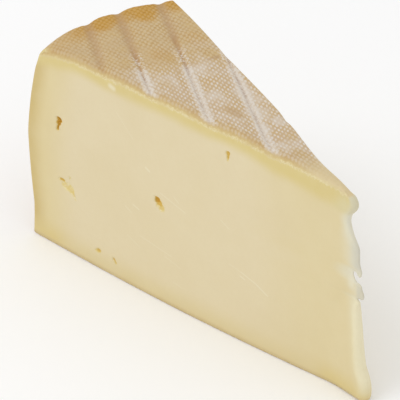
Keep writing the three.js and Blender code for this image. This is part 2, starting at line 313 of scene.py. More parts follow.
def behind_edge(t, length, thin):
    """Distance behind the tip's edge: t from -1 to 0 goes round the edge, and on to 1 along the body."""
    nose = thin * (1 - np.cos((np.clip(t, -1, 0) + 1) * np.pi / 2))
    return nose + (length - thin) * np.clip(t, 0, 1)


def half_widths(x, behind, length, height, thin):
    """Half the wedge's width at a place: without slump, out to the front cut, and out to the back cut."""
    wedge_half = -x * math.tan(HALF_ANGLE)
    half = (wedge_half + thin + np.hypot(wedge_half - thin, THIN_END_BLEND)) / 2
    half = half - np.maximum(half - thin, 0) * np.exp(-behind / FEATHER)
    half = half * np.sqrt(1 - ramp(behind, thin, 0) ** 2)
    slump = slump_share(behind / length, height)
    hollow = BACK_HOLLOW * bell(x + BACK_HOLLOW_MIDDLE, BACK_HOLLOW_REACH)
    return half, half + FRONT_SLUMP * slump, half + BACK_SLUMP * slump - hollow * clamp01(behind / thin)


def round_edges(across, y, height, from_side, halves):
    """Rounds every edge: gives a place's distance from the side, its y and its height."""
    half, front_half, back_half = halves
    below_top = WHEEL_HEIGHT - height
    from_front, from_back = y + front_half, back_half - y
    side, top = round_edge(from_side, below_top, TOP_EDGE_RADIUS)
    side, foot = round_edge(side, height, FOOT_EDGE_RADIUS)
    widest = ROUND_SHARE * half
    corner = bell(below_top, CORNER_HEIGHT)
    front_side_radius = CUT_SIDE_RADIUS + (CORNER_RADIUS - CUT_SIDE_RADIUS) * corner
    for is_front, from_cut, top_radius, side_radius in (
        (True, from_front, FRONT_TOP_RADIUS, front_side_radius),
        (False, from_back, BACK_TOP_RADIUS, BACK_SIDE_RADIUS),
    ):
        cut, top = round_edge(from_cut, top, np.minimum(top_radius, widest))
        cut, foot = round_edge(cut, foot, np.minimum(CUT_FOOT_RADIUS, widest))
        cut, side = round_edge(cut, side, np.minimum(side_radius, widest))
        if is_front:
            y = np.where(across < 0, cut - front_half, y)
        else:
            y = np.where(across > 0, back_half - cut, y)
    return side, y, np.where(height < WHEEL_HEIGHT / 2, foot, WHEEL_HEIGHT - top)


def relief_at(x, y, height, behind, from_front, from_back):
    """How far the surface lies above its level, or below it where negative: fall, fold marks and nick."""
    near_top = ramp(WHEEL_HEIGHT - height, TOP_EDGE_RADIUS, 0)
    fold_share = near_top * ramp(behind, *FOLD_TIP_FADE) * ramp(from_front, *FOLD_FRONT_FADE)
    fold_share *= clamp01(FOLD_BACK_LEFT + from_back / FOLD_BACK_FADE)
    nick = bell(np.hypot(x, y) - NICK_ALONG, NICK_REACH) * ramp(from_back, NICK_WIDTH, 0)
    relief = (top_height(x, y) - WHEEL_HEIGHT) * (height / WHEEL_HEIGHT) ** RELIEF_POWER
    return relief + fold_relief(x, y) * fold_share - NICK_DEPTH * nick * near_top


def wedge_points(t, across, q):
    """Points of the surface, and what each needs to know of its place: t from the tip's edge to the side,
    across from -1 at the front cut to 1 at the back cut, and q the row from the foot to the top."""
    height, reach, edge_height, thin = rows_at(q)
    crown = SIDE_CROWN * (1 - across**2)
    side_x = -(WHEEL_RADIUS - side_inset(height) + crown) * np.cos(across * HALF_ANGLE)
    length = reach - side_x
    behind = behind_edge(t, length, thin)
    x = reach - behind

    halves = half_widths(x, behind, length, height, thin)
    half, front_half, back_half = halves
    y = across * np.where(across < 0, front_half, back_half)
    below_top = WHEEL_HEIGHT - height
    from_side = length - behind
    from_front = y + front_half
    from_back = back_half - y
    side, y, level = round_edges(across, y, height, from_side, halves)

    relief = relief_at(x, y, height, behind, from_front, from_back)
    pull_reach = EDGE_PULL + (TOP_EDGE_PULL - EDGE_PULL) * ramp(height, *TOP_PULL_FADE)
    z = level + relief + (edge_height - height - relief) * bell(behind, pull_reach)

    place = {
        "below_top": below_top,
        "from_side": from_side,
        "from_tip": behind,
        "nose": ramp(behind, thin, 0),
        "half": half,
        "rind_edge": rind_edge(from_front, from_back, below_top, from_side, behind, across),
        "lip": lip_share(from_front, below_top, behind, across),
    }
    return np.stack([side_x + side, y, z], axis=-1), place


def lip_drop(behind):
    """How far the rind comes down over the front cut."""
    return LIP_DROP * clamp01(behind / LIP_START)


def rind_edge(from_front, from_back, below_top, from_side, behind, across):
    """Distance from the edge of the rind, positive on the rind and negative on the cuts."""
    height = WHEEL_HEIGHT - below_top
    drop = lip_drop(behind)
    on_rind = np.minimum(from_front + np.maximum(drop - below_top, 0), from_back)
    to_top = np.where(across < 0, below_top - drop, below_top)
    on_cut = np.minimum(np.minimum(to_top, height), from_side)
    is_cut = np.abs(across) >= 1
    is_rind = (below_top <= 0) | (height <= 0) | (from_side <= TINY)
    from_corner = np.sqrt(from_front**2 + below_top**2 + from_side**2)
    return np.where(is_cut & ~is_rind, -on_cut, np.minimum(on_rind, from_corner - CORNER_BARE))


def lip_share(from_front, below_top, behind, across):
    """1 along the lip, where the rind comes down over the front cut, and 0 away from it."""
    away = np.hypot(from_front, np.maximum(below_top - LIP_DROP, 0))
    return bell(away, LIP_SPREAD) * clamp01(behind / LIP_START) * (across < 0)


# Mesh of the wedge

# Spacing of the mesh along each kind of edge: in the open, at the edges, and how far the fine part reaches
TOP_ALONG = (0.5, 0.3, 6.0)
FRONT_ALONG = (0.75, 0.3, 6.0)
BACK_ALONG = (1.4, 0.35, 6.0)
TOP_ACROSS = (0.6, 0.12, 3.0)
SIDE_ACROSS = (1.0, 0.3, 3.0)
FOOT_ACROSS = (2.5, 0.3, 5.0)
HEEL_WIDTH = 56.0
NOSE_STEPS = 7
CUT_ROW_SPACING = 0.75
SIDE_ROW_SPACING = 1.2
LIP_ROW_SPACING = 0.35
LIP_ROWS_FROM = 71.0
TOP_ROW_STEPS = 9
TOP_ROW_POWER = 1.5
KEY_DIGITS = 7


def spread(length, spacing):
    """Shares of a length, close together near both ends."""
    open_step, end_step, reach = spacing
    places = [0.0]
    while places[-1] < length:
        share = min(1.0, min(places[-1], length - places[-1]) / reach)
        places.append(places[-1] + end_step + (open_step - end_step) * share)
    return np.array(places) / places[-1]


def along_samples(spacing):
    """Samples from the tip's edge, round it and on to the side, as shares from 0 to 1."""
    nose = np.linspace(-1, 0, NOSE_STEPS + 1)[:-1]
    return (np.concatenate([nose, spread(WHEEL_RADIUS, spacing)]) + 1) / 2


def row_samples(row_spacing, least):
    """Samples from the foot to the top as shares from 0 to 1, with at least so many to each of the tip's
    rows, no further apart than the spacing, and close together under the top."""
    rows = []
    for k in range(LAST_ROW - 1):
        spacing = LIP_ROW_SPACING if TIP_ROWS[k, 0] > LIP_ROWS_FROM else row_spacing
        steps = max(least, math.ceil((TIP_ROWS[k + 1, 0] - TIP_ROWS[k, 0]) / spacing))
        rows.append(k + np.arange(steps) / steps)
    left = 1 - np.linspace(0, 1, TOP_ROW_STEPS + 1)
    rows.append(LAST_ROW - left**TOP_ROW_POWER)
    return np.concatenate(rows) / LAST_ROW


class Skin:
    """A closed mesh put together from sheets that share their border vertices."""

    def __init__(self):
        self.params = []
        self.faces = []
        self.known = {}

    def vertex(self, t, across, q):
        if t <= -1:
            across = 0.0
        key = tuple(round(value, KEY_DIGITS) for value in (t, across, q))
        if key not in self.known:
            self.known[key] = len(self.params)
            self.params.append(key)
        return self.known[key]

    def face(self, *corners):
        kept = [c for k, c in enumerate(corners) if c != corners[k - 1]]
        if len(kept) > 2:
            self.faces.append(kept)

    def sheet(self, place, borders, us, vs):
        """Fills a sheet: place turns (u, v) in the unit square into a vertex's key, borders are the samples
        along its four sides, in order round it, and us by vs is the grid inside."""
        inner = [[self.vertex(*place(u, v)) for v in vs] for u in us]
        for i in range(len(us) - 1):
            for j in range(len(vs) - 1):
                self.face(inner[i][j], inner[i + 1][j], inner[i + 1][j + 1], inner[i][j + 1])
        outer_loop = []
        for side, samples in enumerate(borders):
            for s in samples[:-1] if side < 2 else samples[:0:-1]:
                walked = s if side < 2 else 1 - s
                outer_loop.append((side + walked, self.vertex(*place(*self.on_border(side, s)))))
        inner_loop = []
        last_u, last_v = len(us) - 1, len(vs) - 1
        for i in range(last_u):
            inner_loop.append((us[i], inner[i][0]))
        for j in range(last_v):
            inner_loop.append((1 + vs[j], inner[last_u][j]))
        for i in range(last_u, 0, -1):
            inner_loop.append((3 - us[i], inner[i][last_v]))
        for j in range(last_v, 0, -1):
            inner_loop.append((4 - vs[j], inner[0][j]))
        self.belt(outer_loop, inner_loop)

    @staticmethod
    def on_border(side, s):
        """The place (u, v) at a share of one of the four sides."""
        return [(s, 0.0), (1.0, s), (s, 1.0), (0.0, s)][side]

    def belt(self, outer, inner):
        """Joins two loops by triangles, always stepping along the one that is behind. Each entry of a loop
        is the sides walked so far, up to 4, and a vertex."""
        outer = outer + [(4.0, outer[0][1])]
        inner = inner + [(4.0 + inner[0][0], inner[0][1])]
        i = j = 0
        while i < len(outer) - 1 or j < len(inner) - 1:
            step_outer = j == len(inner) - 1 or (i < len(outer) - 1 and outer[i + 1][0] <= inner[j + 1][0])
            if step_outer:
                self.face(outer[i][1], outer[i + 1][1], inner[j][1])
                i += 1
            else:
                self.face(outer[i][1], inner[j + 1][1], inner[j][1])
                j += 1


def both_ways(share):
    """A share from 0 to 1 as a place from -1 to 1."""
    return 2 * share - 1


def front_place(u, v):
    return both_ways(u), -1.0, v * LAST_ROW


def back_place(u, v):
    return both_ways(u), 1.0, v * LAST_ROW


def top_place(u, v):
    return both_ways(u), both_ways(v), LAST_ROW


def foot_place(u, v):
    return both_ways(u), both_ways(v), 0.0


def side_place(u, v):
    return 1.0, both_ways(u), v * LAST_ROW


def build_skin():
    """The sheets: front cut, back cut, top, foot and side. Sheets that meet have the same samples there."""
    top, front, back = (along_samples(spacing) for spacing in (TOP_ALONG, FRONT_ALONG, BACK_ALONG))
    top_across, side_across, foot_across = (
        spread(HEEL_WIDTH, spacing) for spacing in (TOP_ACROSS, SIDE_ACROSS, FOOT_ACROSS)
    )
    fine_up = row_samples(CUT_ROW_SPACING, 2)
    plain_up = row_samples(SIDE_ROW_SPACING, 1)
    skin = Skin()
    for place, borders, us, vs in (
        (front_place, (front, fine_up, top, fine_up), front, fine_up),
        (back_place, (back, plain_up, top, fine_up), back, plain_up),
        (top_place, (top, top_across, top, top_across), top, top_across),
        (foot_place, (front, foot_across, back, foot_across), back, foot_across),
        (side_place, (foot_across, plain_up, top_across, fine_up), side_across, plain_up),
    ):
        skin.sheet(place, borders, us[1:-1], vs[1:-1])
    return skin


# Along the front cut, away from the tip, and straight into the cheese from either cut
CUT_AXIS = Vector((-math.cos(HALF_ANGLE), -math.sin(HALF_ANGLE), 0))
CUT_INWARD = Vector((-math.sin(HALF_ANGLE), math.cos(HALF_ANGLE), 0))
BACK_INWARD = Vector((-math.sin(HALF_ANGLE), -math.cos(HALF_ANGLE), 0))

# Eyes in the front cut: distance from the tip along the cut, height, size along the cut, size up, depth,
# and lean from upright in degrees. An eye with several hollows is one torn opening.
EYES = [
    (130.1, 49.4, 3.0, 2.4, 1.5, 5),
    (130.5, 48.1, 2.2, 3.0, 1.3, 18),
    (130.9, 46.4, 1.5, 3.2, 1.1, 16),
    (129.4, 26.6, 3.2, 1.7, 0.6, -4),
    (128.1, 25.3, 3.6, 3.2, 0.32, -60),
    (126.4, 25.1, 5.0, 4.2, 0.32, -50),
    (124.9, 24.2, 3.6, 3.6, 0.32, -40),
    (123.9, 23.0, 1.7, 4.2, 0.34, -32),
    (125.5, 28.8, 0.9, 1.8, 0.3, 0),
    (86.0, 37.1, 3.2, 3.0, 1.1, -42),
    (85.1, 36.2, 3.9, 3.2, 0.6, -42),
    (83.9, 35.0, 4.2, 3.5, 0.36, -46),
    (55.4, 67.3, 2.2, 2.8, 0.6, 0),
    (55.4, 66.2, 1.3, 3.8, 0.5, 0),
    (112.3, 6.5, 3.2, 2.4, 0.45, 0),
    (105.1, 6.2, 1.7, 2.1, 0.5, -50),
    (104.4, 5.5, 1.1, 2.2, 0.4, -40),
]
# The mesh is finer as far as this round each hollow, by so many cuts of each edge
EYE_MARGIN = 1.2
EYE_SPREAD = 0.8
EYE_CUTS = 2
# The share of a hollow that is its wall, how ragged its outline is, and how near the rind it may come
EYE_WALL = 0.6
EYE_RAGGED = 0.35
EYE_RAGGED_SCALE = 1.1
EYE_FROM_RIND = 0.5

# Unevenness: height, size of the lumps, and how far its noise is moved aside
RIND_LUMPS = (0.16, 5.0, 0.0)
RIND_GRAIN = (0.06, 1.4, 7.0)
CUT_LUMPS = (0.07, 14.0, 3.0)
LIP_LUMPS = (0.16, 1.0, 11.0)
LIP_REACH = 1.1
LIP_STRETCH = 0.45
LIP_LEAST = 0.02
SMOOTH_TIP = 4.0

# What is stored at each vertex for the materials; front is 1 on the front cut
ATTRIBUTES = (
    "rind_edge", "lip", "below_top", "from_side", "from_tip", "nose", "half", "fold", "eye", "front",
)
IS_FRONT = 0.5


def eye_depth(along, height, ragged):
    """How deep the front cut is hollowed at a place on it."""
    depth = 0.0
    for eye_along, eye_height, width, tall, deepest, lean in EYES:
        turn = math.radians(lean)
        forward, up = eye_along - along, height - eye_height
        aside = forward * math.cos(turn) - up * math.sin(turn)
        upright = forward * math.sin(turn) + up * math.cos(turn)
        out = math.hypot(aside / (width / 2), upright / (tall / 2)) * (1 + EYE_RAGGED * ragged)
        inside = min(1.0, max(0.0, (1 - out) / EYE_WALL))
        depth = max(depth, deepest * smooth(inside))
    return depth


def near_eye(along, height):
    """Whether a place on the front cut is in or beside a hollow."""
    for eye_along, eye_height, width, tall, *_ in EYES:
        reach = (width + tall) / 2 * EYE_SPREAD + EYE_MARGIN
        if abs(along - eye_along) < reach and abs(height - eye_height) < tall / 2 + EYE_MARGIN:
            return True
    return False


def store(mesh, name, values):
    """Keeps one number with each vertex."""
    layer = mesh.attributes.get(name) or mesh.attributes.new(name, "FLOAT", "POINT")
    layer.data.foreach_set("value", np.asarray(values, np.float32))


def stored(mesh, name):
    values = np.zeros(len(mesh.vertices), np.float32)
    mesh.attributes[name].data.foreach_get("value", values)
    return values


def coordinates(mesh):
    values = np.zeros(len(mesh.vertices) * 3, np.float64)
    mesh.vertices.foreach_get("co", values)
    return values.reshape(-1, 3)


def refine_at_eyes(mesh):
    """Splits the faces of the front cut round each eye, so that the eyes come out crisp."""
    bm = bmesh.new()
    bm.from_mesh(mesh)
    front = bm.verts.layers.float["front"]
    edges = set()
    for face in bm.faces:
        if all(v[front] > IS_FRONT for v in face.verts):
            centre = face.calc_center_median()
            if near_eye(centre.dot(CUT_AXIS), centre.z):
                edges.update(face.edges)
    bmesh.ops.subdivide_edges(bm, edges=list(edges), cuts=EYE_CUTS, use_grid_fill=True)
    bmesh.ops.recalc_face_normals(bm, faces=bm.faces)
    bm.to_mesh(mesh)
    bm.free()


def lumps(point, spec):
    """How far a point stands out, by one of the kinds of unevenness."""
    height, size, aside = spec
    return height * noise.noise(Vector(point) / size + Vector((aside,) * 3))


def wear_in(mesh):
    """Hollows the eyes and gives rind, cuts and the lip between them their unevenness."""
    points = coordinates(mesh)
    normals = np.array([v.normal for v in mesh.vertices])
    edge, lip = stored(mesh, "rind_edge"), stored(mesh, "lip")
    on_rind = clamp01(edge / LIP_REACH)
    on_cut = clamp01(-edge / LIP_REACH) * clamp01(stored(mesh, "from_tip") / SMOOTH_TIP)
    may_have_eye = (stored(mesh, "front") > IS_FRONT) & (-edge > EYE_FROM_RIND)
    hollow = np.zeros(len(points))
    moved = points.copy()
    for k, point in enumerate(points):
        place = Vector(point)
        along = place.dot(CUT_AXIS)
        rise = on_rind[k] * (lumps(place, RIND_LUMPS) + lumps(place, RIND_GRAIN))
        rise += on_cut[k] * lumps(place, CUT_LUMPS)
        if lip[k] > LIP_LEAST:
            streak = Vector((along, place.dot(CUT_INWARD) * LIP_STRETCH, place.z * LIP_STRETCH))
            rise += lip[k] * lumps(streak, LIP_LUMPS)
        moved[k] += normals[k] * rise
        if may_have_eye[k]:
            ragged = noise.noise(place / EYE_RAGGED_SCALE)
            hollow[k] = eye_depth(along, place.z, ragged)
            moved[k] += np.array(CUT_INWARD) * hollow[k]
    mesh.vertices.foreach_set("co", moved.ravel())
    store(mesh, "eye", hollow)


def move_onto(mesh, box):
    """Moves the finished mesh onto the solid's box and into metres, and gives the move in millimetres."""
    points = coordinates(mesh)
    low, high = points.min(axis=0), points.max(axis=0)
    goal = [(box[0][k] + box[1][k]) / 2 / MM for k in range(2)]
    shift = np.array([goal[0] - (low[0] + high[0]) / 2, goal[1] - (low[1] + high[1]) / 2, -low[2]])
    mesh.vertices.foreach_set("co", ((points + shift) * MM).ravel())
    return shift


def make_wedge(box):
    """The wedge as one mesh on the solid's box, and how far it was moved there."""
    skin = build_skin()
    params = np.array(skin.params)
    points, place = wedge_points(params[:, 0], params[:, 1], params[:, 2])
    mesh = bpy.data.meshes.new(LOOKS_NAME)
    mesh.from_pydata(points.tolist(), [], skin.faces)
    for name, values in place.items():
        store(mesh, name, values)
    store(mesh, "front", params[:, 1] <= -1)
    refine_at_eyes(mesh)
    wear_in(mesh)
    x, y, _ = coordinates(mesh).T
    nearest = np.abs(fold_distances(x, y)).min(axis=0)
    down_side = np.maximum(stored(mesh, "below_top") - TOP_EDGE_RADIUS, 0)
    store(mesh, "fold", nearest + FOLD_FADE_DOWN * down_side)

    shift = move_onto(mesh, box)
    mesh.shade_smooth()
    mesh.update()
    wedge = bpy.data.objects.new(LOOKS_NAME, mesh)
    bpy.context.scene.collection.objects.link(wedge)
    return wedge, shift


# Materials


def tone(red, green, blue):
    """A colour read as 0 to 255 sRGB, as the linear colour that a shader takes."""
    linear = []
    for level in (red / 255, green / 255, blue / 255):
        linear.append(level / 12.92 if level <= 0.04045 else ((level + 0.055) / 1.055) ** 2.4)
    return (*linear, 1.0)


# Colours of the cuts
PASTE = tone(223, 208, 171)
PASTE_TO_TIP = tone(221, 205, 160)
# Painted light: the thin tip is paler, as light shines through it
PASTE_TIP_LIGHT = tone(226, 215, 176)
# Painted light: the thin fins at the tip are greyish, as light shines through them
PASTE_FIN_LIT_THROUGH = tone(223, 218, 194)
# Painted shade: the rounded nose of the tip is greyer, where it turns away from the light
PASTE_NOSE_SHADE = tone(219, 215, 195)
# Painted light: the paste round the see-through gap under the first flap is made pale
PASTE_GAP_LIGHT = tone(229, 224, 202)
# Painted light: the rounded lower rim of the tip is made paler against the shade it gets
PASTE_RIM_LIGHT = tone(236, 228, 195)
# Painted shade: the thin flaps at the tip are greyer
PASTE_FLAP_SHADE = tone(206, 203, 187)
LOBE = tone(214, 202, 153)
# Painted light: the lobe's thin edge is greyish, as light shines through it
LOBE_EDGE_LIT_THROUGH = tone(209, 203, 175)
LOBE_TOP = tone(213, 198, 141)
PASTE_TO_SIDE = tone(220, 203, 153)
PASTE_SIDE = tone(203, 179, 114)
UNDER_RIND = tone(216, 197, 132)
PASTE_FOOT = tone(218, 201, 153)
PASTE_FOOT_ENDS = tone(217, 197, 134)
# Painted shade: darker along the foot of the cuts
FOOT_EDGE_SHADE = tone(203, 181, 130)
PASTE_PALE = tone(232, 222, 190)
PASTE_DULL = tone(213, 195, 147)
# The eyes get deeper colours the deeper they are: partly the paste's own gold in the hollows, partly painted
# shade under their rims
EYE_PALE = tone(221, 202, 134)
EYE_MIDDLE = tone(211, 176, 84)
EYE_DEEP = tone(208, 163, 62)
EYE_DARK = tone(199, 147, 30)
# Knife marks, and painted highlights in the same colour
KNIFE_MARK_AND_HIGHLIGHT = tone(231, 221, 192)

# Colours of the rind
RIND = tone(197, 171, 129)
RIND_WARM = tone(201, 172, 118)
RIND_PIT = tone(184, 149, 98)
RIND_NET = tone(207, 187, 151)
RIND_ORANGE = tone(193, 150, 76)
RIND_AMBER = tone(194, 147, 58)
SMEAR_PIT = tone(176, 129, 52)
RIND_GAP = tone(199, 174, 141)
BLOOM = tone(218, 209, 197)
BELT = tone(203, 178, 124)
LIP = tone(217, 199, 148)
RIND_TIP = tone(217, 199, 157)
# Pale crumbs along the lip: partly their own colour, partly painted highlight
LIP_CRUMB_HIGHLIGHT = tone(227, 214, 170)
# The soft fold colour is partly the folds' own mauve and partly painted shade in the grooves near the side
FOLD_SOFT = tone(181, 149, 112)
FOLD_RED = tone(178, 140, 98)
FOLD_PALE = tone(175, 151, 131)

# Noises that make the looks uneven: size in millimetres, detail and roughness
NOISES = {
    "clouds": (26.0, 2.0, 0.5),
    "broad": (18.0, 2.0, 0.5),
    "mottle": (9.0, 4.0, 0.55),
    "patchy": (6.0, 3.0, 0.6),
    "flecks": (2.6, 2.0, 0.5),
    "grain": (1.3, 3.0, 0.6),
    "speckle": (0.9, 3.0, 0.6),
    "crumbs": (0.55, 3.0, 0.7),
}
NOISE_MIDDLE = 0.5

# The imprint of the press cloth: direction and pitch of its threads, along the rows of dashes and across
# them, and the size and reach of the wandering of the threads. Each dash is drawn out along its row.
WEAVE_THREADS = [(math.radians(63.5), 0.93), (math.radians(-21), 1.42)]
WEAVE_WANDERS = [(7.0, 1.0), (1.9, 0.34)]
WANDER_DETAIL = 2.0
DASH_STRETCH = 1.6
ROW_CONTRAST = 0.3
# From the side, where the cloth begins to run down it
DRAPE_FADE = (4, 0.5)

# Depths of the bump, and the gloss
WEAVE_DEPTH = 0.05
CREASE_DEPTH = 0.08
FINE_DEPTH_PASTE = 0.012
FINE_DEPTH_RIND = 0.11
PASTE_ROUGHNESS = 0.48
RIND_ROUGHNESS = 0.82
SPECULAR = 0.35


class Graph:
    """Short names for the nodes that a material is made of. Below, g is such a graph, and f holds its
    fields, which say what each place on the surface is like."""

    def __init__(self, material):
        self.tree = material.node_tree
        self.tree.nodes.clear()

    def add(self, kind, inputs=(), output=0, **settings):
        """Adds a node and gives one of its outputs."""
        node = self.tree.nodes.new(kind)
        for name, value in settings.items():
            setattr(node, name, value)
        for key, value in dict(inputs).items():
            self.put(node.inputs[key], value)
        return None if output is None else node.outputs[output]

    def put(self, socket, value):
        if isinstance(value, bpy.types.NodeSocket):
            self.tree.links.new(value, socket)
        else:
            socket.default_value = value

    def attribute(self, name):
        return self.add("ShaderNodeAttribute", output="Fac", attribute_name=name)

    def calc(self, operation, a, b=0.0, clamp=False):
        return self.add("ShaderNodeMath", {0: a, 1: b}, operation=operation, use_clamp=clamp)

    def vector(self, operation, a, b=(0, 0, 0), output=0):
        return self.add("ShaderNodeVectorMath", {0: a, 1: b}, output, operation=operation)

    def dot(self, a, b):
        return self.vector("DOT_PRODUCT", a, b, "Value")

    def noise(self, position, size, detail, roughness=0.5, output=0):
        return self.add("ShaderNodeTexNoise", {
            "Vector": position,
            "Scale": 1 / size,
            "Detail": detail,
            "Roughness": roughness,
        }, output)

    def fade(self, value, start, end, low=0.0, high=1.0):
        """Goes smoothly from low at start to high at end."""
        if start > end:
            start, end, low, high = end, start, high, low
        return self.add("ShaderNodeMapRange", {
            "Value": value,
            "From Min": start,
            "From Max": end,
            "To Min": low,
            "To Max": high,
        }, interpolation_type="SMOOTHSTEP")

    def blend(self, share, a, b):
        """Colour a where the share is 0, and b where it is 1."""
        return self.add("ShaderNodeMix", {0: share, 6: a, 7: b}, 2, data_type="RGBA")

    def times(self, *values):
        product = values[0]
        for value in values[1:]:
            product = self.calc("MULTIPLY", product, value)
        return product


# Marks of the knife on the front cut, and two painted highlights: from and to, as distance from the tip and
# height, half width, strength
KNIFE_MARKS_AND_HIGHLIGHTS = [
    (104, 63, 97, 56, 0.22, 0.25),
    (84.5, 40.5, 73.5, 37.5, 0.22, 0.5),
    (78.5, 41.5, 76.5, 40, 0.25, 0.5),
    (96.5, 31, 94, 30.2, 0.3, 0.6),
    (100, 29, 97.5, 27.8, 0.25, 0.45),
    (91, 47.3, 89.5, 46.6, 0.45, 0.7),
    (58, 41.3, 54.5, 39.5, 0.22, 0.5),
    (54, 26.5, 49, 25.6, 0.2, 0.35),
    (49, 25.6, 42.5, 23.8, 0.24, 0.7),
    (42.5, 23.8, 37.5, 21.4, 0.24, 0.8),
    (49.2, 24, 47.4, 23.5, 0.28, 0.7),
    (93, 20.5, 79, 18.6, 0.22, 0.4),
    (99, 18.5, 93, 16, 0.22, 0.3),
    (82, 17.5, 75, 15.8, 0.2, 0.35),
    (78, 9.4, 74, 8.8, 0.2, 0.3),
    # The next two are painted highlights: a glint near the top edge and one on the rim of the torn eye
    (106.6, 71.9, 105.2, 71.5, 1.0, 0.75),
    (128.9, 24.4, 126.6, 23.5, 0.35, 0.6),
]

# Spots on the rind: place, reach along X and Y, and strength
ORANGE_STAINS = [
    (-130, 12, 6, 4.5, 1.0),
    (-134, 5, 5, 5, 0.6),
    (-133, -4, 4, 5, 0.5),
    (-125, 1, 5, 3.5, 0.3),
    (-131, -13, 4, 5, 0.45),
    (-105, 1, 6, 4, 0.45),
    (-82, 4, 6, 4, 0.3),
    (-108, 16, 5, 4, 0.35),
    (-88, -6, 6, 3, 0.35),
    (-75, 7, 4, 3, 0.25),
]
SMEAR_SPOTS = [
    (-131.5, 12, 4.5, 4, 0.8),
    (-136, 3, 4, 5, 0.6),
    (-136.5, -7.5, 3.5, 5, 0.75),
]
BARE_PATCHES = [
    (-97, 14.5, 5, 3.5, 1.0),
    (-105, 1, 6, 4.5, 0.8),
    (-90, -9, 5, 3, 0.5),
    (-62, -2, 5, 2.5, 0.7),
    (-27, 0, 11, 3, 0.7),
    (-40, 4, 3, 2, 0.6),
]
HAZE_PATCHES = [
    (-69, 8, 8, 4, 0.45),
    (-58, 5, 6, 4, 0.4),
    (-50, 0, 5, 2.5, 0.5),
    (-50, 7, 4, 2.5, 0.5),
]
DARK_STROKES = [
    (-94.6, 13.5, 1.2, 3.5, 0.55),
    (-62, -2, 4.5, 1.6, 0.35),
]
# How uneven a spot's outline is, where it fades as a share of its reach, and how far each knife mark and
# painted highlight fades out beyond its width
SPOT_WOBBLE = 1.6
SPOT_FADE = (1.25, 0.45)
MARK_SPREAD = 1.6

# Places on X from which the fold marks turn red and then pale, how wide they are there, and the direction
# in which they change
FOLD_TURNS_RED = (-118, -110)
FOLD_TURNS_PALE = (-101, -94)
FOLD_WIDTHS = (2.3, 0.62)
DOWN_FOLDS = (1, -0.53, 0)

# How far the noises move the edges of the looks, from end to end
UNDER_RIND_SPAN = 5.0
SMEAR_SPANS = (9.0, 6.0)
DOWN_SIDE_SPAN = 16.0
BLOOM_SPAN = 26.0
BANK_SPAN = 8.0
FOLD_SPAN = 2.2
WEAVE_SPANS = (2.0, 1.4)

# How strong the orange wash and the white specks beside the fold marks are
WASH_STRENGTH = 0.9
SPECK_STRENGTH = 0.8


def knife_mark_and_highlight_share(g, cut_place):
    """How much of the knife marks and painted highlights shows at a place on the front cut."""
    total = None
    for x0, z0, x1, z1, half_width, strength in KNIFE_MARKS_AND_HIGHLIGHTS:
        run = Vector((x1 - x0, z1 - z0, 0))
        off = g.vector("SUBTRACT", cut_place, (x0, z0, 0))
        share = g.calc("MULTIPLY", g.dot(off, run), 1 / run.length_squared, clamp=True)
        along = g.add("ShaderNodeVectorMath", {0: run, "Scale": share}, operation="SCALE")
        away = g.vector("LENGTH", g.vector("SUBTRACT", off, along), output="Value")
        mark = g.fade(away, half_width * MARK_SPREAD, 0, 0, strength)
        total = mark if total is None else g.calc("MAXIMUM", total, mark)
    return total


def spots(g, f, list_of_spots):
    """Soft-edged spots, each an ellipse on the plan."""
    total = None
    for x, y, reach_x, reach_y, strength in list_of_spots:
        off = g.vector("MULTIPLY", g.vector("SUBTRACT", f.place, (x, y, 0)), (1 / reach_x, 1 / reach_y, 0))
        away = g.calc("ADD", g.vector("LENGTH", off, output="Value"), f.wobble)
        spot = g.fade(away, *SPOT_FADE, 0, strength)
        total = spot if total is None else g.calc("MAXIMUM", total, spot)
    return total


def surface_fields(g, shift):
    """The fields of a place on the wedge: its position, the stored attributes and the noises."""
    position = g.add("ShaderNodeTexCoord", output="Object")
    place = g.add("ShaderNodeMapping", {
        "Vector": position,
        "Location": tuple(-shift),
        "Scale": (1 / MM,) * 3,
    }, vector_type="POINT")
    f = SimpleNamespace(place=place)
    for axis in "XYZ":
        setattr(f, axis.lower(), g.add("ShaderNodeSeparateXYZ", {0: place}, axis))
    for name in ATTRIBUTES:
        setattr(f, name, g.attribute(name))
    for name, spec in NOISES.items():
        setattr(f, name, g.noise(place, *spec))
    f.from_front = g.dot(place, CUT_INWARD)
    f.from_back = g.dot(place, BACK_INWARD)
    f.wobble = g.times(g.calc("SUBTRACT", f.patchy, NOISE_MIDDLE), SPOT_WOBBLE)
    return f


def shifted(g, value, noise_value, span):
    """A value made uneven: moved by up to half a span either way."""
    return g.calc("ADD", value, g.times(g.calc("SUBTRACT", noise_value, NOISE_MIDDLE), span))


def region(g, f, *parts):
    """Where a look shows, as the product of its parts. A part is a share from 0 to 1, or a fade: the name
    of a field, where it starts and where it is full, and its strengths there if they aren't 0 and 1."""
    return g.times(*(g.fade(getattr(f, p[0]), *p[1:]) if isinstance(p, tuple) else p for p in parts))


def either(g, first, second):
    """The stronger of two shares."""
    return g.calc("MAXIMUM", first, second)


def layers(g, f, ground, table):
    """Lays colours over a ground, one after the other, each in its region."""
    for colour, *parts in table:
        ground = g.blend(region(g, f, *parts), ground, colour)
    return ground


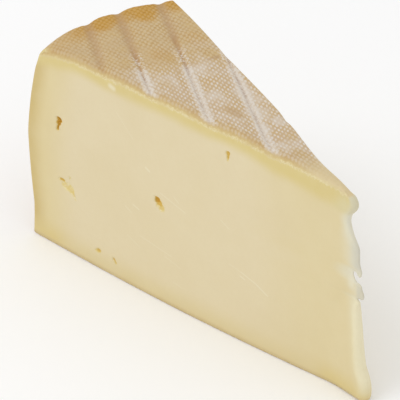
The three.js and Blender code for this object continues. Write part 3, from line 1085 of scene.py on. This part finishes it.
def paste_colour(g, f):
    """The paste from the ground up: ends, foot with painted shade at its edge, under the rind, tip and
    flakes in painted light and shade, lobe, knife marks with painted highlights, and eyes partly in painted
    shade.
    """
    depth = shifted(g, f.below_top, f.clouds, UNDER_RIND_SPAN)
    f.under_rind = g.calc("SUBTRACT", depth, g.fade(f.from_tip, 60, 12, 0, 2.6))
    tip_reach = g.calc("ADD", g.fade(f.z, 32, 40, 5.6, 9.5), g.fade(f.z, 54, 62, 0, -5.1))
    f.tip_share = g.calc("DIVIDE", f.from_tip, tip_reach)
    foot_ends = either(g, g.fade(f.from_side, 20, 8), g.fade(f.from_tip, 26, 14))
    thin = either(g, g.fade(f.nose, 0.4, 1.0), g.fade(f.half, 0.6, 0.3))
    # Where the flaps of the tip get painted shade
    flap_shade = region(g, f, ("z", 45, 49), ("z", 61, 54), ("x", -5.0, 0.2))
    low_flap_shade = region(g, f, ("z", 35.8, 37), ("z", 42.5, 41), ("x", -1.2, 0.8))
    lobe = layers(g, f, LOBE, [
        # Painted light along the lobe's thin edge
        (LOBE_EDGE_LIT_THROUGH, ("from_tip", 3.2, 0.0)),
        (LOBE_TOP, ("below_top", 5.5, 2.5), ("from_tip", 0.8, 2.6)),
    ])
    cut_place = g.add("ShaderNodeCombineXYZ", {0: g.dot(f.place, CUT_AXIS), 1: f.z})
    # Painted light at the tip: paler low down and greyer higher up, as light shines through the thin paste
    tip = g.blend(g.fade(f.z, 22, 42), PASTE_TIP_LIGHT, PASTE_FIN_LIT_THROUGH)
    return layers(g, f, PASTE, [
        (PASTE_TO_TIP, ("from_tip", 48, 14)),
        (PASTE_TO_SIDE, ("from_side", 22, 5)),
        (PASTE_SIDE, ("from_side", 8, 0)),
        (g.blend(foot_ends, PASTE_FOOT, PASTE_FOOT_ENDS), ("z", 10, 1)),
        # Painted shade along the foot
        (FOOT_EDGE_SHADE, ("z", 2.2, 0.3)),
        (UNDER_RIND, ("under_rind", 8.0, 3.2)),
        (tip, ("tip_share", 1, 0), ("below_top", 3, 9), ("z", 4, 30, 0.6, 1.0), ("z", 0.8, 5, 0.1, 1)),
        # Painted light along the tip's lower rim
        (PASTE_RIM_LIGHT, ("from_tip", 3.0, 0.6, 0, 0.8), ("z", 1.5, 9), ("z", 38, 35)),
        # Painted shade on the thin nose of the tip
        (PASTE_NOSE_SHADE, thin, ("z", 33, 40), ("from_tip", 2.2, 0.6)),
        (PASTE_FLAP_SHADE, either(g, flap_shade, low_flap_shade)),
        # Painted light round the gap under the first flap
        (PASTE_GAP_LIGHT, ("z", 38, 41), ("z", 47, 45), ("x", -5, -2.6, 0, 0.7), ("x", -1.2, -2.2)),
        (lobe, ("from_tip", 10, 4), ("below_top", 11, 7)),
        (PASTE_PALE, ("mottle", 0.35, 0.75, 0, 0.10)),
        (PASTE_DULL, ("clouds", 0.6, 0.3, 0, 0.16)),
        (PASTE_DULL, ("grain", 0.35, 0.7, 0, 0.08)),
        # Knife marks and painted highlights
        (KNIFE_MARK_AND_HIGHLIGHT, knife_mark_and_highlight_share(g, cut_place), f.front),
        # Eye colours by depth: partly their own gold, partly painted shade in the hollows
        (EYE_PALE, ("eye", 0.01, 0.22, 0, 0.9)),
        # Pale crumbs in the shallow torn eyes, partly their own colour and partly painted highlight on the
        # lumps
        (PASTE_PALE, ("eye", 0.08, 0.2), ("eye", 0.38, 0.3), ("grain", 0.48, 0.62, 0, 0.8)),
        (EYE_MIDDLE, ("eye", 0.24, 0.5)),
        (EYE_DEEP, ("eye", 0.5, 0.95)),
        (EYE_DARK, ("eye", 1.1, 1.4)),
    ])


def cloth_weave(g, f):
    """The imprint of the cloth's plain weave, about 1 on the dashes to -1 in the pits between them. Over the
    wheel's edge the cloth runs on down the side."""
    down_side = g.times(f.below_top, g.fade(f.from_side, *DRAPE_FADE))
    bent = g.add("ShaderNodeCombineXYZ", {0: g.calc("SUBTRACT", f.x, down_side), 1: f.y, 2: f.z})
    for size, reach in WEAVE_WANDERS:
        wander = g.noise(f.place, size, WANDER_DETAIL, output="Color")
        centred = g.vector("SUBTRACT", wander, (NOISE_MIDDLE,) * 3)
        bent = g.vector("ADD", bent, g.vector("MULTIPLY", centred, (reach,) * 3))
    phases = []
    for direction, pitch in WEAVE_THREADS:
        axis = (math.cos(direction) * math.pi / pitch, math.sin(direction) * math.pi / pitch, 0)
        phases.append(g.dot(bent, axis))
    dash = g.times(g.calc("COSINE", phases[1]), DASH_STRETCH)
    dash = g.calc("MAXIMUM", g.calc("MINIMUM", dash, 1.0), -1.0)
    rows = g.times(g.calc("COSINE", g.times(phases[0], 2.0)), ROW_CONTRAST)
    return g.calc("ADD", g.times(g.calc("COSINE", phases[0]), dash), rows)


def smear_layers(g, f):
    """Layers of the rind up to the threads of the cloth, with the orange smear that washed over the wheel's
    edge, less beside the fold marks."""
    to_side = shifted(g, shifted(g, f.from_side, f.patchy, SMEAR_SPANS[0]), f.grain, SMEAR_SPANS[1])
    f.to_side = g.calc("ADD", to_side, g.fade(f.fold, 6, 0.5, 0, 2.5))
    f.down_side = shifted(g, f.below_top, f.patchy, DOWN_SIDE_SPAN)
    smear = region(g, f, ("y", -18, -5, 0.2, 1), ("down_side", 4, 30, 1, 0.4))
    f.wash = region(g, f, smear, ("to_side", 15, 6))
    smear_spots = spots(g, f, SMEAR_SPOTS)
    amber = either(g, g.fade(f.to_side, 11, 4, 0, 0.85), smear_spots)
    net = g.fade(f.mottle, 0.35, 0.6, 0.5, 1.0)
    pit = g.blend(either(g, f.wash, smear_spots), RIND_PIT, SMEAR_PIT)
    return [
        (RIND_WARM, ("patchy", 0.35, 0.7, 0, 0.7)),
        (RIND_WARM, ("from_back", 9, 1, 0, 0.8), ("flecks", 0.3, 0.6)),
        (RIND_ORANGE, spots(g, f, ORANGE_STAINS)),
        (RIND_ORANGE, f.wash, WASH_STRENGTH),
        (RIND_AMBER, smear, amber, ("down_side", 4, 20, 1, 0.3)),
        (RIND_NET, net, ("rough", -0.4, 0.6, 0, 0.6), ("wash", 0, 1, 1, 0.3)),
        (pit, net, ("rough", -0.1, -1.0, 0, 0.85)),
    ]


def bloom_layers(g, f):
    """Layers of the white bloom, which lies on the threads and as a haze between them."""
    f.bloom_place = shifted(g, f.x, f.broad, BLOOM_SPAN)
    bloom = region(
        g, f,
        g.calc("SUBTRACT", 1.0, spots(g, f, BARE_PATCHES)),
        ("bloom_place", -110, -90),
        ("from_tip", 6, 26),
        ("from_back", 0.3, 2, 0.4, 1),
        ("from_front", 1.2, 5.2, 0.25, 1),
    )
    haze = either(g, g.fade(f.mottle, 0.46, 0.68, 0, 0.5), spots(g, f, HAZE_PATCHES))
    return [
        (RIND_GAP, bloom, ("patchy", 0.35, 0.65, 0.85, 0.4)),
        (BLOOM, bloom, haze),
        (BLOOM, bloom, ("rough", 0.05, 0.75, 0, 0.95), ("flecks", 0.34, 0.58, 0.45, 1)),
        (FOLD_SOFT, spots(g, f, DARK_STROKES)),
    ]


def fold_layers(g, f):
    """Layers of the fold marks: soft towards the side, then a red crease, then a pale one between banks."""
    f.down_folds = g.dot(f.place, DOWN_FOLDS)
    f.bank_place = shifted(g, f.down_folds, f.broad, BANK_SPAN)
    f.ragged_fold = shifted(g, f.fold, f.grain, FOLD_SPAN)
    core_width = g.fade(f.x, FOLD_TURNS_RED[0], FOLD_TURNS_PALE[0], *FOLD_WIDTHS)
    f.core = g.calc("DIVIDE", f.fold, core_width)
    banks = region(g, f, ("bank_place", *FOLD_TURNS_PALE), ("x", -106, -100))
    covered = region(g, f, banks, ("mottle", 0.6, 0.42, 0, 0.7))
    crease = layers(g, f, FOLD_SOFT, [
        (FOLD_RED, ("x", *FOLD_TURNS_RED)),
        (FOLD_PALE, ("x", *FOLD_TURNS_PALE)),
    ])
    bank = region(g, f, banks, ("ragged_fold", 2.4, 1.0), ("rough", -0.8, 0.4, 0.7, 1))
    core = region(g, f, ("core", 1.15, 0.1), ("x", *FOLD_TURNS_RED, 0.75, 1), ("from_front", 2, 9, 0.45, 1))
    specks = region(g, f, ("down_folds", -115, -105), ("fold", 3.2, 1.2), ("y", -16.5, -12))
    return [
        (BLOOM, bank, ("speckle", 0.32, 0.56, 0.6, 1)),
        # Near the side, where the crease has no bump, this colour is partly painted shade in the groove
        (crease, core, g.calc("SUBTRACT", 1.0, covered), ("flecks", 0.3, 0.6, 0.5, 0.9)),
        (BLOOM, specks, ("speckle", 0.5, 0.62), SPECK_STRENGTH),
    ]


def rind_colour(g, f):
    """The rind from the ground up: smear, bloom and fold marks, and plainer again at the tip."""
    f.rough = shifted(g, shifted(g, f.weave, f.speckle, WEAVE_SPANS[0]), f.flecks, WEAVE_SPANS[1])
    return layers(g, f, RIND, [
        *smear_layers(g, f),
        *bloom_layers(g, f),
        *fold_layers(g, f),
        (RIND_TIP, ("from_tip", 27, 13, 0, 0.8)),
    ])


def lipped(g, f, rind, paste):
    """Rind, crumbly belt, lip and paste, each giving way raggedly to the next across the rind's edge; the
    pale crumbs on the lip are partly painted highlight.
    """
    f.ragged = shifted(g, f.rind_edge, f.grain, g.fade(f.lip, 0, 1, 0.5, 2.6))
    belt = g.blend(g.fade(f.from_tip, 27, 12), BELT, RIND_TIP)
    crumbs = region(g, f, ("crumbs", 0.38, 0.6), ("mottle", 0.34, 0.54), ("from_side", 5, 24))
    return layers(g, f, rind, [
        (belt, f.lip, ("ragged", 3.8, 0.9)),
        (LIP, f.lip, ("ragged", 1.7, 0.1, 0, 0.9)),
        # Crumbs along the lip, partly painted highlight
        (LIP_CRUMB_HIGHLIGHT, f.lip, crumbs, ("ragged", 1.4, 0.1)),
        (paste, ("ragged", 0.4, -0.5)),
    ])


def surface_height(g, f):
    """Height of the finest relief: the weave, the crease along each fold and the grain."""
    weave = region(g, f, f.weave, ("rind_edge", 1.0, 4.0, 0, WEAVE_DEPTH), ("fold", 0.8, 1.8))
    crease = region(g, f, ("fold", 0.8, 0, 0, -CREASE_DEPTH), ("rind_edge", 3, 6), ("x", *FOLD_TURNS_RED))
    fine_depth = g.fade(f.rind_edge, -0.2, 1.0, FINE_DEPTH_PASTE, FINE_DEPTH_RIND)
    return shifted(g, g.calc("ADD", weave, crease), f.speckle, fine_depth)


def cheese_material(shift):
    """Paste on the cuts, and rind with the press cloth's imprint elsewhere."""
    material = bpy.data.materials.new("raclette")
    material.use_nodes = True
    g = Graph(material)
    f = surface_fields(g, shift)
    f.weave = cloth_weave(g, f)
    colour = lipped(g, f, rind_colour(g, f), paste_colour(g, f))
    roughness = g.fade(f.rind_edge, -0.4, 0.8, PASTE_ROUGHNESS, RIND_ROUGHNESS)
    normal = g.add("ShaderNodeBump", {"Strength": 1.0, "Distance": MM, "Height": surface_height(g, f)})

    surface = g.add("ShaderNodeBsdfPrincipled", {
        "Base Color": colour,
        "Roughness": roughness,
        "Normal": normal,
        "Specular IOR Level": SPECULAR,
    })
    g.add("ShaderNodeOutputMaterial", {"Surface": surface}, output=None)
    return material


# Studio

# The photograph's camera: elevation and azimuth it looks from, roll, distance, and where it aims
CAMERA_ELEVATION = math.radians(32.4)
CAMERA_AZIMUTH = math.radians(53.8)
CAMERA_ROLL = math.radians(-0.4)
CAMERA_DISTANCE = 1623.15
CAMERA_ASIDE = -8.10
CAMERA_UP = 1.35
CAMERA_HEIGHT = 36.35
CAMERA_LENS = 450.0
CAMERA_SENSOR = 36.0
CAMERA_FAR = 50.0

# Floor and lights, in metres
FLOOR_SIZE = 6.0
FLOOR_COLOUR = (0.98, 0.98, 0.98, 1)
FLOOR_ROUGHNESS = 0.9
FLOOR_SPECULAR = 0.1
WORLD_COLOUR = (1, 1, 1, 1)
WORLD_LIGHT = 0.86
KEY_PLACE = (-0.3, -0.84, 1.2)
KEY_TARGET = (0, 0, 0.04)
KEY_SIZE = 1.0
KEY_POWER = 4.2


def floor_material():
    material = bpy.data.materials.new("studio_floor")
    material.use_nodes = True
    shader = material.node_tree.nodes["Principled BSDF"]
    shader.inputs["Base Color"].default_value = FLOOR_COLOUR
    shader.inputs["Roughness"].default_value = FLOOR_ROUGHNESS
    shader.inputs["Specular IOR Level"].default_value = FLOOR_SPECULAR
    return material


def make_camera():
    e, a, roll = CAMERA_ELEVATION, CAMERA_AZIMUTH, CAMERA_ROLL
    back = Vector((math.sin(a) * math.cos(e), -math.cos(a) * math.cos(e), math.sin(e)))
    level = Vector((math.cos(a), math.sin(a), 0))
    upright = back.cross(level)
    right = math.cos(roll) * level + math.sin(roll) * upright
    up = back.cross(right)
    place = Vector((0, 0, CAMERA_HEIGHT)) + CAMERA_ASIDE * right + CAMERA_UP * up + CAMERA_DISTANCE * back
    data = bpy.data.cameras.new("camera")
    data.lens = CAMERA_LENS
    data.sensor_width = CAMERA_SENSOR
    data.clip_end = CAMERA_FAR
    camera = bpy.data.objects.new("camera", data)
    turn = Matrix((right, up, back)).transposed()
    camera.matrix_world = Matrix.Translation(place * MM) @ turn.to_4x4()
    bpy.context.scene.collection.objects.link(camera)
    bpy.context.scene.camera = camera


def make_key_light():
    data = bpy.data.lights.new("key", "AREA")
    data.shape = "DISK"
    data.size = KEY_SIZE
    data.energy = KEY_POWER
    light = bpy.data.objects.new("key", data)
    light.location = KEY_PLACE
    light.rotation_euler = (Vector(KEY_TARGET) - Vector(KEY_PLACE)).to_track_quat("-Z", "Y").to_euler()
    bpy.context.scene.collection.objects.link(light)


def make_studio():
    world = bpy.data.worlds.new("studio")
    world.use_nodes = True
    background = world.node_tree.nodes["Background"]
    background.inputs["Color"].default_value = WORLD_COLOUR
    background.inputs["Strength"].default_value = WORLD_LIGHT
    bpy.context.scene.world = world
    make_key_light()
    bpy.ops.mesh.primitive_plane_add(size=FLOOR_SIZE)
    floor = bpy.context.object
    floor.name = "studio_floor"
    floor.data.materials.append(floor_material())
    floor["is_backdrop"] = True
    make_camera()
    bpy.context.scene.view_settings.view_transform = "Standard"


def corners():
    low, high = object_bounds()
    return [list(low), list(high)]


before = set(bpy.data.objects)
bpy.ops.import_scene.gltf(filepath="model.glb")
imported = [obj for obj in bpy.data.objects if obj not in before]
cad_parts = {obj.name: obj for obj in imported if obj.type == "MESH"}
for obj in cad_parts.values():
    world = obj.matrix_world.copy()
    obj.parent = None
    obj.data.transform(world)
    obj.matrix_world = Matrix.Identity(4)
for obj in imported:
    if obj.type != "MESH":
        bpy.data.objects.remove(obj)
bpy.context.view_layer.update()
wedge, shift = make_wedge(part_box("cheese_wedge"))
wedge.data.materials.append(cheese_material(shift))
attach(wedge, "root")
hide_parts("cheese_wedge")
make_studio()
